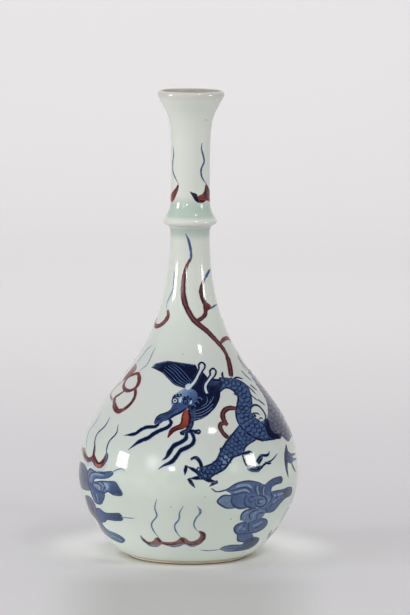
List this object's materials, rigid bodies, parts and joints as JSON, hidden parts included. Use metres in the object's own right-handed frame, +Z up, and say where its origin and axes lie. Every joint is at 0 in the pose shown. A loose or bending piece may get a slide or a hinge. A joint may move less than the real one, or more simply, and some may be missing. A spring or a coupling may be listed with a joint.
{
  "type": "pear-shaped vase",
  "caption": "Pear-shaped porcelain bottle vase on a foot ring, with a raised ring at mid-neck and a small trumpet mouth.",
  "frame": {"origin": "centre of the flat face of the foot ring, on the vase's axis", "axes": "+Z up along the vase's axis, -Y towards the viewer of the picture"},
  "size_m": [0.1134, 0.1134, 0.24],
  "materials": {
    "glazed_porcelain": "glossy clear glaze over a pale greenish white body, painted in cobalt blue and copper red",
    "biscuit": "bare fired clay, matt"
  },
  "bodies": {
    "root": {"foot_ring": "biscuit", "lower_body": "glazed_porcelain", "shoulder": "glazed_porcelain", "lower_neck": "glazed_porcelain", "neck_ring": "glazed_porcelain", "upper_neck": "glazed_porcelain"}
  },
  "joints": []
}
